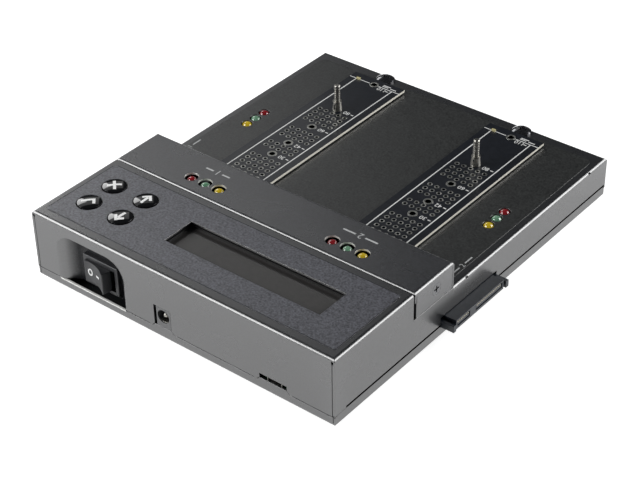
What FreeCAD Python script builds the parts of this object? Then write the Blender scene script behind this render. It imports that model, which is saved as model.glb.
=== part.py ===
import FreeCAD, Part
import math, os

# Stand-alone drive duplicator: folded steel case with a raised control housing at the
# rear and a low deck in front that carries two M.2 slots.  All sizes are in millimetres.
# Frame: +X is the target side, -X the source side, +Y the rear wall with the power
# switch, +Z up.  The origin is on the ground under the middle of the case.

V = FreeCAD.Vector
UP = V(0, 0, 1)

# ---- case ----
case_w = 169.0            # overall width of the folded case
housing_l = 52.6          # raised housing, from the rear wall to its cut roof edge
bridge_seam = 0.8         # gap between housing roof and bridge cover
bridge_l = 28.0           # removable bridge cover
card_lead = 1.55          # from the bridge front to the connector end of a card
card_lengths = (30, 42, 60, 80, 110)
board_end = 5.05          # slot board left beyond the longest card
deck_end = 10.0           # deck left beyond the slot boards
sheet = 1.0               # steel sheet thickness
bend_r = 1.7              # outside radius of every fold
foot_h = 1.5              # rubber foot height
deck_h = 21.5             # case height at the deck, without feet
main_board_h = 5.5        # top of the main board above the case bottom
switch_under = 2.55       # main board to switch body
body_half = (9.4, 6.4)    # half width and half height of the switch body
switch_over = 0.55        # switch body to panel board
board_t = 1.6
panel_drop = 12.0         # panel board below the roof, behind keys and display
housing_h = main_board_h + switch_under + 2 * body_half[1] + switch_over + board_t + panel_drop
seam = 0.25               # closed seam between shell and pan
slit = 0.35               # open corner slit between two flanges
case_l = housing_l + bridge_seam + bridge_l + card_lead + card_lengths[-1] + board_end + deck_end
half_w = case_w / 2
half_l = case_l / 2
roof_z = foot_h + housing_h
deck_z = foot_h + deck_h
roof_front_y = half_l - housing_l

# ---- bottom pan ----
pan_inset = 0.2                     # side walls stand this far inside the shell faces
pan_end_inset = 0.1                 # end walls likewise
pan_x = half_w - pan_inset
pan_y = half_l - pan_end_inset
floor_top = foot_h + sheet
pan_end_z = foot_h + 4.8            # top of the front and rear pan walls
pan_side_z = foot_h + 5.8           # top of the side pan walls
tab_z = foot_h + 6.3                # raised tabs under the rear sockets
shell_end_z = pan_end_z + seam      # lower edge of the shell, front and rear
shell_side_z = foot_h + 7.0         # lower edge of the shell sides: a visible dark gap
side_gap_y = half_l - 7.1           # the dark gap ends here, near the rear corner
foot_inset = (16.5, 16.0)           # foot centres from the side and end faces
foot_r = 6.0
case_screw_inset = (7.5, 29.0)      # case screws from the side and end faces
bracket_t = 1.2
bracket_w = 12.0
bracket_h = 13.5

# ---- bridge: the removable cover over the M.2 connectors ----
bridge_back_y = roof_front_y - bridge_seam
bridge_front_y = bridge_back_y - bridge_l
flap_z = deck_z + 0.3               # lower edge of the two side flaps
lip_h = 5.0                         # downward lip at the back of the bridge
flap_screw_y = bridge_front_y + 12.6
flap_screw_z = roof_z - 6.6
plate_h = 18.0                      # plate behind each flap screw
led_y = bridge_front_y + 18.6
led_pitch = 8.1
bridge_led_mid_x = (half_w - 46.2, 42.3 - half_w)    # middle lamp, target and source
led_hole_r = 3.3
spot_r = 0.1                        # film holes are this much larger in radius

# ---- deck and slots ----
deck_back_y = bridge_front_y + 3.4
slot_x = (half_w - 43.2, 44.2 - half_w)     # slot centre lines: target, source
slot_datum_y = bridge_front_y - card_lead   # connector end of an inserted card
slot_half_w = 15.2                  # half width of a slot board
slot_board_t = 1.2
slot_pad_t = 0.9                    # foam pad between deck and slot board
slot_pad_inset = 0.5
slot_top = deck_z + slot_pad_t + slot_board_t
slot_side_gap = 0.5                 # around the slot board and socket where they pass the bridge
socket_h = 4.2
slot_front_y = slot_datum_y - card_lengths[-1] - board_end
slot_back_y = slot_datum_y + 12.0
post_length = card_lengths[-2]      # the hold-down post stands in this hole
post_h = 14.0
slot_screw_dx = 0.4
slot_screw_y = -half_l + deck_end / 2
slot_screw_r = 1.95
slot_screw_head = (4.75, 2.6)       # head radius and height
slot_nut_h = 3.2
via_pitch = 3.81
via_first = 5.1                     # first row starts this far past the datum, plus the lead
via_lead = 4.5                      # from a card hole to the next row
via_tail = 3.5                      # kept clear before a card hole
via_r = 0.8
insert_r = 2.35
insert_hole_r = 1.5
deck_led_x = half_w - 14.0
deck_led_y = bridge_front_y - 53.9  # middle lamp
deck_led_pitch = 6.5
deck_led_hole_r = 2.8
fold_notch_y = (bridge_front_y - 10.3, -half_l + 15.6)   # relief notches in the side fold
film = 0.15                         # printed overlay film thickness
panel_film_inset = 3.75             # film edge from the side faces
panel_film_rear = 5.0
panel_film_front = 3.5
deck_film_inset = 4.1
deck_film_end = 6.3

# ---- display and keys ----
key_x = (half_w - 16.0, half_w - 35.1)
key_y = (roof_front_y + 32.7, roof_front_y + 16.7)
key_hole_r = 5.95
key_r = 5.5
key_flange_r = 6.6
key_travel = 0.8
stem_r = 1.7
stem_clear = 0.07
lcd_x = (key_x[1] - 111.3, key_x[1] - 26.5)
lcd_y = (roof_front_y + 16.0, roof_front_y + 33.5)
display_drop = 2.4                  # display frame below the roof

# ---- rear wall ----
recess_x = (30.25, 71.0)            # finger recess around the power switch
recess_top = roof_z - 5.6
recess_depth = 5.0
recess_flat_x = 59.0                # the back panel is flat up to here, then sweeps out
recess_arch_r = 10.0
switch_x = 47.35
switch_z = foot_h + main_board_h + switch_under + body_half[1]
bezel_half = (10.35, 7.6)
body_depth = 14.0
window_half = (8.6, 5.45)
bezel_t = 2.0
rocker_len = 7.2                    # half length of the rocker
rocker_half_h = 5.3
rocker_rise = 7.3                   # rocker ends above the pivot
rocker_dip = 1.6                    # hollow of the rocker's face
rocker_tilt = 14.0                  # resting tilt, target side pressed in
pivot_depth = 4.0                   # pivot behind the bezel face
pivot_r = 1.2
pivot_clear = 0.05
jack_x = 7.8
jack_half_w = 4.0
jack_side_gap = 1.45                # open strip beside the inlet
jack_z = foot_h + 12.4
jack_top = jack_z + 4.2
jack_len = 14.0
jack_bore_r = 3.3
jack_bore_depth = 11.0
jack_pin_r = 1.25
usb_x = -52.25
usb_half_w = 3.9

# ---- side connectors ----
sata_y = (bridge_front_y - 30.2, bridge_front_y + 6.0)    # main block
sata_arm_y = (sata_y[0] - 3.2, sata_y[1] + 2.6)           # outside of the two guide arms
sata_out = 6.1                      # how far the block stands out of the case side
sata_z = (foot_h + main_board_h, foot_h + main_board_h + 4.8)
pin_pitch = 1.27

# ---- boards ----
main_top = sata_z[0]                # top of the main and side boards
panel_top = roof_z - panel_drop
main_step_y = sata_y[1] + 7.4       # the main board widens behind the side boards
m3_shank_r = 1.4
m3_hole_r = 1.45
screw_head_r = 2.75
screw_head_h = 2.0
standoff_r = 3.0

# ---- places that follow from the sizes above ----
jack_tab_x = (jack_x - jack_half_w - 0.05, jack_x + jack_half_w + jack_side_gap)
usb_tab_x = (usb_x - 7.15, usb_x + 7.15)
usb_top = main_top + 2.9
switch_face_y = half_l - recess_depth + bezel_t
body_back = half_l - recess_depth - body_depth
tab_y = body_back - 8.0
lead_y = tab_y - 7.0
lead_top = main_top + 3.0

nodes = {}


def box(x0, x1, y0, y1, z0, z1):
    """A block between two corners, given as low and high along each axis."""
    return Part.makeBox(x1 - x0, y1 - y0, z1 - z0, V(x0, y0, z0))


def cyl(x, y, z0, z1, r):
    """An upright cylinder."""
    return Part.makeCylinder(r, z1 - z0, V(x, y, z0), UP)


def cyl_y(x, z, y0, y1, r):
    """A cylinder along Y."""
    return Part.makeCylinder(r, y1 - y0, V(x, y0, z), V(0, 1, 0))


def cone(x, y, z0, z1, r0, r1):
    """An upright cone frustum."""
    return Part.makeCone(r0, r1, z1 - z0, V(x, y, z0), UP)


def tube(x, y, z0, z1, r_out, r_in):
    """An upright ring."""
    return cyl(x, y, z0, z1, r_out).cut(cyl(x, y, z0 - 1, z1 + 1, r_in))


def prism(points, axis, low, high):
    """Extrude a closed outline along x, y or z; points are in the other two axes."""
    place = {
        "x": lambda a, b: V(low, a, b),
        "y": lambda a, b: V(a, low, b),
        "z": lambda a, b: V(a, b, low),
    }[axis]
    step = {"x": V(1, 0, 0), "y": V(0, 1, 0), "z": UP}[axis]
    wire = Part.makePolygon([place(a, b) for a, b in points] + [place(*points[0])])
    return Part.Face(wire).extrude(step * (high - low))


def fuse(shapes):
    """Join touching solids into one clean solid."""
    whole = shapes[0].multiFuse(shapes[1:])
    return whole.removeSplitter()


def cut(shape, tools):
    """Take every tool away from a shape."""
    return shape.cut(Part.makeCompound(tools))


def round_edges(shape, radius, wanted):
    """Fillet the straight edges whose middle point and direction pass the test."""
    picked = []
    for edge in shape.Edges:
        if not isinstance(edge.Curve, Part.Line):
            continue
        mid = edge.CenterOfMass
        run = edge.Curve.Direction
        if wanted(mid, run):
            picked.append(edge)
    return shape.makeFillet(radius, picked)


def near(a, b):
    return abs(a - b) < 1e-4


def flat_run(run):
    """True for an edge that lies level."""
    return abs(run.z) < 1e-6


def mirror_x(shape):
    return shape.mirror(V(0, 0, 0), V(1, 0, 0))


def both_sides(shape):
    """The shape and its mirror image across the case's middle plane."""
    return [shape, mirror_x(shape)]


def keep(name, shapes):
    """Store one node as a compound of its separate solids."""
    if not isinstance(shapes, (list, tuple)):
        shapes = [shapes]
    solids = [solid for shape in shapes for solid in shape.Solids]
    nodes[name] = Part.makeCompound(solids)


def folded_block(inset, radius, low):
    """The case's solid outline, stepped from deck to housing, shrunk by a sheet inset."""
    w = half_w - inset
    l = half_l - inset
    deck = deck_z - inset
    roof = roof_z - inset
    front = roof_front_y - (0.5 if inset else 0)
    block = fuse([box(-w, w, -l, l, low, deck), box(-w, w, front, l, low, roof)])

    def fold(mid, run):
        if not flat_run(run):
            return False
        on_deck = near(mid.z, deck) and (near(abs(mid.x), w) or near(mid.y, -l))
        on_roof = near(mid.z, roof) and (near(abs(mid.x), w) or near(mid.y, l))
        return on_deck or on_roof

    return round_edges(block, radius, fold)


def corner_slits(low):
    """Open slits where two flanges meet at the four upright case corners."""
    cuts = []
    x0 = half_w - sheet - slit - 0.3
    rear = (half_l - sheet - 0.1, half_l + 1, roof_z)
    front = (-half_l - 1, -half_l + sheet + 0.1, deck_z)
    for y0, y1, top in (rear, front):
        cuts += both_sides(box(x0, x0 + slit, y0, y1, low, top - bend_r - 0.2))
        cuts += both_sides(box(x0 - 0.3, x0 + slit + 0.5, y0, y1, top - bend_r - 1.1, top - bend_r + 0.3))
    return cuts


def sweep_profile():
    """Plan outline of the finger recess: flat back, straight source side, swept target side."""
    x0, x1 = recess_x
    back = half_l - recess_depth
    run = x1 - recess_flat_x
    r = (run ** 2 + recess_depth ** 2) / (4 * recess_depth)
    half_turn = math.asin(run / 2 / r) / 2
    low_mid = V(recess_flat_x + r * math.sin(half_turn), back + r * (1 - math.cos(half_turn)), 0)
    middle = V(recess_flat_x + run / 2, back + recess_depth / 2, 0)
    high_mid = V(x1 - r * math.sin(half_turn), half_l - r * (1 - math.cos(half_turn)), 0)
    corners = [V(x0, half_l, 0), V(x0, back, 0), V(recess_flat_x, back, 0), V(x1, half_l, 0)]
    outside = half_l + 4
    edges = [
        Part.makeLine(corners[0], corners[1]),
        Part.makeLine(corners[1], corners[2]),
        Part.Arc(corners[2], low_mid, middle).toShape(),
        Part.Arc(middle, high_mid, corners[3]).toShape(),
        Part.makeLine(corners[3], V(x1, outside, 0)),
        Part.makeLine(V(x1, outside, 0), V(x0, outside, 0)),
        Part.makeLine(V(x0, outside, 0), corners[0]),
    ]
    return Part.Face(Part.Wire(edges))


def arch(grow):
    """Front view outline of the recess with its rounded top corners, as a long block."""
    x0, x1 = recess_x
    top = recess_top + grow
    block = box(x0 - grow, x1 + grow, half_l - 20, half_l + 10, 0, top)

    def crown(mid, run):
        return abs(run.y) > 0.9 and near(mid.z, top)

    return round_edges(block, recess_arch_r + grow, crown)


def recess_solids():
    """The recess as a hollow to cut and a pressed pocket behind it, both open at the bottom."""
    plan = sweep_profile()
    tall = V(0, 0, recess_top + 2 * sheet)
    hollow = plan.extrude(tall).common(arch(0))
    outer = plan.makeOffset2D(sheet, 0).extrude(tall).common(arch(sheet))
    outer = outer.common(box(0, half_w, 0, half_l - sheet, shell_end_z, roof_z))
    return hollow, cut(outer, [hollow, switch_hole()])


def make_shell():
    """Top shell: roof, deck and flanges folded from one sheet, and the pocket welded behind it."""
    shell = folded_block(0, bend_r, shell_end_z).cut(folded_block(sheet, bend_r - sheet, shell_end_z - 5))
    inner_w = half_w - sheet
    under_bridge = box(-inner_w, inner_w, deck_back_y, roof_front_y + 0.5, deck_z - 2 * sheet, deck_z + sheet)
    shell = shell.cut(under_bridge)
    sill = box(inner_w, half_w, bridge_front_y, roof_front_y, deck_z - 5, flap_z - seam)
    hollow, pocket = recess_solids()
    keep("switch_pocket", pocket)
    shell = fuse([shell] + both_sides(sill))
    cuts = [hollow]
    cuts += corner_slits(shell_end_z - 1)
    side_strip = box(inner_w - 0.1, half_w + 1, -half_l + sheet - 0.2, side_gap_y, 0, shell_side_z)
    rear_strip = box(inner_w - 0.1, half_w + 1, side_gap_y - 1, half_l - sheet + 0.2, 0, pan_side_z + seam)
    cuts += both_sides(side_strip) + both_sides(rear_strip)
    cuts.append(box(lcd_x[0], lcd_x[1], lcd_y[0], lcd_y[1], roof_z - 3, roof_z + 1))
    for x in key_x:
        for y in key_y:
            cuts.append(cyl(x, y, roof_z - 3, roof_z + 1, key_hole_r))
    for x, y in deck_led_spots():
        cuts.append(cyl(x, y, deck_z - 3, deck_z + 1, deck_led_hole_r))
    for x in slot_x:
        cuts += [cyl(px, py, deck_z - 3, deck_z + 1, insert_hole_r + 0.5) for px, py in card_holes(x)]
        cuts.append(cyl(x + slot_screw_dx, slot_screw_y, deck_z - 3, deck_z + 1, slot_screw_r + 0.25))
    for y in fold_notch_y:
        cuts += both_sides(box(half_w - 0.7, half_w + 1, y - 0.8, y + 0.8, deck_z - 1.3, deck_z - 0.4))
    opening = box(inner_w - 1, half_w + 1, sata_arm_y[0] - 0.3, sata_arm_y[1] + 0.3, 0, sata_z[1] + 0.3)
    cuts += both_sides(opening)
    for (x0, x1), top in ((jack_tab_x, jack_top + 0.15), (usb_tab_x, usb_top + 0.3)):
        cuts.append(box(x0 - 0.1, x1 + 0.1, half_l - 2, half_l + 1, 0, top))
        cuts.append(prism(tab_outline(x0, x1, seam), "y", half_l - 2, half_l + 1))
    keep("top_shell", cut(shell, cuts))


def deck_led_spots():
    """Centres of the six lamps in the deck: yellow, green, red from the rear."""
    rows = [deck_led_y + step * deck_led_pitch for step in (1, 0, -1)]
    return [(side * deck_led_x, y) for side in (1, -1) for y in rows]


def bridge_led_spots():
    """Centres of the six lamps in the bridge: red, green, yellow from the target side."""
    return [(mid - step * led_pitch, led_y) for mid in bridge_led_mid_x for step in (-1, 0, 1)]


def switch_hole():
    w = body_half[0] + 0.1
    h = body_half[1] + 0.1
    back = half_l - recess_depth
    return box(switch_x - w, switch_x + w, back - 3, back + 1, switch_z - h, switch_z + h)


def tab_outline(x0, x1, grow):
    """Outline of a raised tab with sloped shoulders; grow gives the shell's matching notch."""
    rise = tab_z - pan_end_z
    low = pan_end_z - 0.5
    left = x0 - rise - grow
    right = x1 + rise + grow
    return [(left, low), (left, pan_end_z + grow), (x0, tab_z + grow), (x1, tab_z + grow),
            (right, pan_end_z + grow), (right, low)]


def make_pan():
    """Bottom pan: shallow folded tray with screw holes and raised tabs."""
    def bottom_fold(mid, run):
        return flat_run(run) and near(mid.z, foot_h)

    def inner_fold(mid, run):
        return flat_run(run) and near(mid.z, floor_top)

    outer = round_edges(box(-pan_x, pan_x, -pan_y, pan_y, foot_h, pan_side_z), bend_r, bottom_fold)
    inner = box(-pan_x + sheet, pan_x - sheet, -pan_y + sheet, pan_y - sheet, floor_top, pan_side_z + 5)
    inner = round_edges(inner, bend_r - sheet, inner_fold)
    pan = outer.cut(inner)
    cuts = []
    for y0, y1 in ((-half_l - 1, -pan_y + sheet + 0.3), (pan_y - sheet - 0.3, half_l + 1)):
        cuts.append(box(-half_w, half_w, y0, y1, pan_end_z, 20))
        gap_x = pan_x - sheet - slit / 2
        low = foot_h + bend_r
        cuts += both_sides(box(gap_x, gap_x + slit, y0, y1, low, 20).common(pan_end_zone(y0, y1)))
    side_opening = box(pan_x - 3, half_w + 1, sata_arm_y[0] - 0.3, sata_arm_y[1] + 0.3, sata_z[0] - 0.3, 20)
    cuts += both_sides(side_opening)
    pan = cut(pan, cuts)
    tabs = [prism(tab_outline(x0, x1, 0), "y", pan_y - sheet, pan_y) for x0, x1 in (jack_tab_x, usb_tab_x)]
    pan = fuse([pan] + tabs)
    holes = []
    for x, y in case_screw_spots():
        holes.append(cyl(x, y, 0, 5, m3_shank_r + 0.2))
        holes.append(cone(x, y, foot_h - 0.01, foot_h + sheet, 2.9, m3_shank_r + 0.2))
    keep("bottom_pan", cut(pan, holes))


def pan_end_zone(y0, y1):
    """Only the sheet thickness of an end wall, for the pan's corner slits."""
    return box(-half_w, half_w, max(y0, -half_l), min(y1, half_l), 0, 30)


def case_screw_spots():
    x = half_w - case_screw_inset[0]
    y = half_l - case_screw_inset[1]
    return [(sx * x, sy * y) for sx in (1, -1) for sy in (1, -1)]


def make_case_fixings():
    """Feet, welded inside brackets and the screws that close the case."""
    foot_x = half_w - foot_inset[0]
    foot_y = half_l - foot_inset[1]
    spots = [(sx * foot_x, sy * foot_y) for sx in (1, -1) for sy in (1, -1)]
    keep("rubber_feet", [cyl(x, y, 0, foot_h, foot_r) for x, y in spots])
    brackets = []
    face_x = pan_x - sheet
    for x, y in case_screw_spots():
        if x < 0:
            continue
        y0, y1 = y - bracket_w / 2, y + bracket_w / 2
        foot = box(x - 3.7, face_x, y0, y1, floor_top, floor_top + bracket_t)
        wall = box(face_x - bracket_t, face_x, y0, y1, floor_top, floor_top + bracket_h)
        angle = fuse([foot, wall])
        middles = [(edge, edge.CenterOfMass) for edge in angle.Edges]
        heel = [edge for edge, mid in middles if near(mid.x, face_x) and near(mid.z, floor_top)]
        angle = angle.makeChamfer(0.75 * bracket_t, heel).cut(cyl(x, y, 0, 20, m3_hole_r))
        brackets += both_sides(angle)
    keep("case_brackets", brackets + bridge_plates())
    keep("case_screws", [csk_screw(x, y, foot_h, floor_top + bracket_t + 1.0) for x, y in case_screw_spots()])


def bridge_plates():
    """Welded plates inside the housing walls that the flap screws bite into."""
    x1 = half_w - sheet
    z1 = flap_screw_z + 3.1
    plate = box(x1 - bracket_t, x1, bridge_front_y + 4.4, bridge_back_y - 5.6, z1 - plate_h, z1)
    return both_sides(plate.cut(side_cone(1, half_w, half_w - 8, m3_hole_r, m3_hole_r)))


def csk_screw(x, y, z0, z1):
    """Countersunk cross-head screw pointing up, head flush at z0."""
    screw = fuse([cone(x, y, z0, z0 + sheet, 2.85, m3_shank_r), cyl(x, y, z0, z1, m3_shank_r)])
    return screw.cut(cross_recess(x, y, z0, 0.8))


def cross_recess(x, y, z, depth):
    """Phillips cross centred at height z, cut both ways by depth."""
    return fuse([box(x - 1.6, x + 1.6, y - 0.4, y + 0.4, z - depth, z + depth),
                 box(x - 0.4, x + 0.4, y - 1.6, y + 1.6, z - depth, z + depth)])


def make_bridge():
    """Bridge cover and its two side screws."""
    def outline(inset, radius, low):
        w = half_w - inset
        block = box(-w, w, bridge_front_y + inset, bridge_back_y - inset, low, roof_z - inset)

        def top(mid, run):
            return flat_run(run) and near(mid.z, roof_z - inset)

        return round_edges(block, radius, top)

    bridge = outline(0, bend_r, deck_z + seam).cut(outline(sheet, bend_r - sheet, 0))
    inner_w = half_w - sheet
    cuts = [box(-inner_w, inner_w, bridge_back_y - 3, bridge_back_y + 1, 0, roof_z - lip_h)]
    cuts += both_sides(box(inner_w - 0.05, half_w + 1, bridge_front_y + sheet, bridge_back_y + 1, 0, flap_z))
    slit_top = roof_z - bend_r - 0.2
    lip_z = roof_z - lip_h
    back_face = bridge_back_y - sheet
    front_face = bridge_front_y + sheet
    cuts += both_sides(box(inner_w - 0.05, half_w + 1, back_face, bridge_back_y + 1, 0, lip_z))
    cuts += both_sides(box(inner_w - 0.05, half_w + 1, back_face - slit, back_face, lip_z - slit, slit_top))
    cuts += both_sides(box(inner_w - 0.05, half_w + 1, front_face, front_face + 0.2, 0, slit_top))
    for x in slot_x:
        w = slot_half_w + slot_side_gap
        opening_top = slot_top + socket_h + slot_side_gap
        cuts.append(box(x - w, x + w, bridge_front_y - 1, front_face + 0.5, 0, opening_top))
    for x, y in bridge_led_spots():
        cuts.append(cyl(x, y, roof_z - 3, roof_z + 1, led_hole_r))
    for sx in (1, -1):
        cuts.append(side_cone(sx, half_w + 0.02, half_w - sheet, 3.15, 1.8))
    keep("bridge_cover", cut(bridge, cuts))
    screws = []
    for sx in (1, -1):
        head = side_cone(sx, half_w - 0.05, half_w - sheet, 3.05, 1.7)
        shank = side_cone(sx, half_w - 0.5, half_w - 6.0, m3_shank_r, m3_shank_r)
        slots = side_cross(sx)
        screws.append(fuse([head, shank]).cut(slots))
    keep("bridge_screws", screws)


def side_cone(sx, x_out, x_in, r_out, r_in):
    """Cone or cylinder along X at a flap screw, from x_out inwards."""
    start = V(sx * x_out, flap_screw_y, flap_screw_z)
    if near(r_out, r_in):
        return Part.makeCylinder(r_out, x_out - x_in, start, V(-sx, 0, 0))
    return Part.makeCone(r_out, r_in, x_out - x_in, start, V(-sx, 0, 0))


def side_cross(sx):
    """Phillips cross in a flap screw's head."""
    x0, x1 = sorted((sx * (half_w - 0.9), sx * (half_w + 1)))
    y = flap_screw_y
    z = flap_screw_z
    return fuse([box(x0, x1, y - 1.7, y + 1.7, z - 0.4, z + 0.4),
                 box(x0, x1, y - 0.4, y + 0.4, z - 1.7, z + 1.7)])


def make_films():
    """Printed overlay films on the housing roof and on the deck."""
    def corner(mid, run):
        return abs(run.z) > 0.9

    x = half_w - panel_film_inset
    roof_film = box(-x, x, roof_front_y + panel_film_front, half_l - panel_film_rear, roof_z, roof_z + film)
    roof_film = round_edges(roof_film, 1.5, corner)
    spot = 2 * spot_r
    holes = [box(lcd_x[0] - spot, lcd_x[1] + spot, lcd_y[0] - spot, lcd_y[1] + spot, roof_z - 1, roof_z + 1)]
    holes += [cyl(x, y, roof_z - 1, roof_z + 1, key_hole_r + spot_r) for x in key_x for y in key_y]
    keep("panel_film", cut(roof_film, holes))

    def front_corner(mid, run):
        return abs(run.z) > 0.9 and mid.y < 0

    x = half_w - deck_film_inset
    deck_film = box(-x, x, -half_l + deck_film_end, bridge_front_y - 0.3, deck_z, deck_z + film)
    deck_film = round_edges(deck_film, 4.0, front_corner)
    edge = slot_half_w - slot_pad_inset + spot_r
    holes = [box(x - edge, x + edge, slot_front_y + slot_pad_inset - spot_r, half_l, deck_z - 1, deck_z + 1)
             for x in slot_x]
    holes += [cyl(x, y, deck_z - 1, deck_z + 1, deck_led_hole_r + spot_r) for x, y in deck_led_spots()]
    holes += [cyl(x + slot_screw_dx, slot_screw_y, deck_z - 1, deck_z + 1, slot_screw_head[0] + spot_r)
              for x in slot_x]
    keep("deck_film", cut(deck_film, holes))


def make_display():
    """Character display: board, backlight, glass and steel frame."""
    z0 = panel_top
    x0, x1 = lcd_x[0] - 4.1, lcd_x[1] + 4.1
    y0, y1 = lcd_y[0] - 3.9, lcd_y[1] + 4.1
    frame_top = roof_z - display_drop
    keep("display_board", box(x0 - 2, x1 + 2, y0 - 2.5, y1 + 2.5, z0, z0 + board_t))
    base = z0 + board_t
    frame = box(x0, x1, y0, y1, base, frame_top)
    inside = box(x0 + 1, x1 - 1, y0 + 1, y1 - 1, base - 1, frame_top - 1)
    view = box(lcd_x[0] - 0.6, lcd_x[1] + 0.6, lcd_y[0] - 0.6, lcd_y[1] + 0.6, base, frame_top + 1)
    keep("display_frame", cut(frame, [inside, view]))
    glass_low = frame_top - 3.0
    keep("display_glass", box(x0 + 1, x1 - 1, y0 + 1, y1 - 1, glass_low, frame_top - 1))
    keep("display_backlight", box(x0 + 1, x1 - 1, y0 + 1, y1 - 1, base, glass_low))


def make_keys():
    """Four domed keys and the switches under them."""
    names = {(0, 0): "key_accept", (0, 1): "key_cancel", (1, 0): "key_up", (1, 1): "key_down"}
    bases = []
    for (i, j), name in names.items():
        x = key_x[i]
        y = key_y[j]
        under = roof_z - sheet
        rim = roof_z + 0.45
        crown = roof_z + 1.1
        ball_r = (key_r ** 2 + (crown - rim) ** 2) / (2 * (crown - rim))
        dome = Part.makeSphere(ball_r, V(x, y, crown - ball_r)).common(cyl(x, y, rim - 0.2, crown + 1, key_r))
        flange = cyl(x, y, under - 1.2, under - 0.2, key_flange_r)
        stem = cyl(x, y, panel_top + 1.7, under - 1.1, stem_r)
        keep(name, fuse([cyl(x, y, under - 1.3, rim, key_r), dome, flange, stem]))
        body = box(x - 3, x + 3, y - 3, y + 3, panel_top, panel_top + 4.1)
        bases.append(body.cut(cyl(x, y, panel_top + 1.5 - key_travel, panel_top + 5, stem_r + stem_clear)))
    keep("key_switches", bases)


def lamp(x, y, z0, top):
    """A 5 mm lamp: rim, body and domed end."""
    r = 2.5
    dome = Part.makeSphere(r, V(x, y, top - r))
    return fuse([cyl(x, y, z0, z0 + 1.0, 2.9), cyl(x, y, z0, top - r, r), dome])


def make_lamps():
    """Twelve lamps in three colours, each on a spacer tube."""
    lamp_h = 8.4
    deck_top = deck_z + 1.0
    bridge_top = roof_z - 0.2
    order = ("lamps_red", "lamps_green", "lamps_yellow")
    groups = {name: [] for name in order}
    spacers = []
    for n, (x, y) in enumerate(bridge_led_spots()):
        groups[order[n % 3]].append(lamp(x, y, bridge_top - lamp_h, bridge_top))
        spacers.append(tube(x, y, panel_top, bridge_top - lamp_h, 2.9, 1.9))
    for n, (x, y) in enumerate(deck_led_spots()):
        groups[order[2 - n % 3]].append(lamp(x, y, deck_top - lamp_h, deck_top))
        spacers.append(tube(x, y, main_top, deck_top - lamp_h, 2.9, 1.9))
    for name in order:
        keep(name, groups[name])
    keep("lamp_spacers", spacers)


def card_holes(x, lengths=card_lengths):
    return [(x, slot_datum_y - length) for length in lengths]


def via_spots(x):
    """The grid of plated holes between the card hold-down holes."""
    spots = []
    starts = (via_first,) + card_lengths[:3]
    for start, end in zip(starts, card_lengths):
        row = start + via_lead
        while row < end - via_tail:
            spots += [(x + column * via_pitch, slot_datum_y - row) for column in range(-2, 3)]
            row += via_pitch
    return spots


def make_post(x, y, low):
    """Hold-down post: tapered split body, collar and threaded stud."""
    seat = slot_top + film
    body_top = seat + 4.3
    collar_top = body_top + 0.8
    tip = slot_top + post_h
    stud_r = 1.5
    grooves = []
    z = collar_top + 0.9
    while z < tip - 1.5:
        grooves.append(tube(x, y, z, z + 0.45, 3.0, stud_r - 0.15))
        z += 1.2
    post = fuse([cyl(x, y, low, seat, insert_hole_r - 0.05),
                 cone(x, y, seat, body_top, 2.5, 1.95),
                 cyl(x, y, body_top, collar_top, 2.15),
                 cyl(x, y, collar_top, tip - 0.5, stud_r),
                 cone(x, y, tip - 0.5, tip, stud_r, 1.1)])
    split = box(x - 0.3, x + 0.3, y - 3, y + 3, seat + 0.8, body_top - 0.5)
    return cut(post, grooves + [split])


def make_slot(x, side):
    """One M.2 slot board with its connector and hold-down post; returns the contacts' tails."""
    low = slot_top - slot_board_t
    board = box(x - slot_half_w, x + slot_half_w, slot_front_y, slot_back_y, low, slot_top)
    holes = [cyl(px, py, low - 1, slot_top + 1, via_r) for px, py in via_spots(x)]
    holes += [cyl(px, py, low - 1, slot_top + 1, insert_r - 0.45) for px, py in card_holes(x)]
    keep("slot_board_" + side, cut(board, holes))
    front = slot_datum_y - 4.5
    top = slot_top + socket_h
    body = box(x - 11.2, x + 11.2, front, front + 7.2, slot_top, top)
    mouth = box(x - 10.1, x + 10.1, front - 1, front + 4.9, slot_top + 2.0, slot_top + 3.0)
    key = box(x - 6.5, x - 5.5, front, front + 4.9, slot_top + 1.9, slot_top + 3.1)
    keep("card_socket_" + side, fuse([body.cut(mouth), key]))
    post_x, post_y = card_holes(x, (post_length,))[0]
    keep("card_post_" + side, make_post(post_x, post_y, deck_z + 0.1))
    tails = []
    for n in range(34):
        px = x - 8.25 + n * 0.5
        tails.append(box(px - 0.11, px + 0.11, front + 7.2, front + 8.3, slot_top, slot_top + 0.2))
    return tails


def make_pad(x):
    """Foam pad that carries a slot board on the deck, open at each card hole."""
    half = slot_half_w - slot_pad_inset
    low = slot_front_y + slot_pad_inset
    pad = box(x - half, x + half, low, deck_back_y - slot_pad_inset, deck_z, deck_z + slot_pad_t)
    return cut(pad, [cyl(px, py, deck_z - 1, slot_top, insert_r) for px, py in card_holes(x)])


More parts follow.
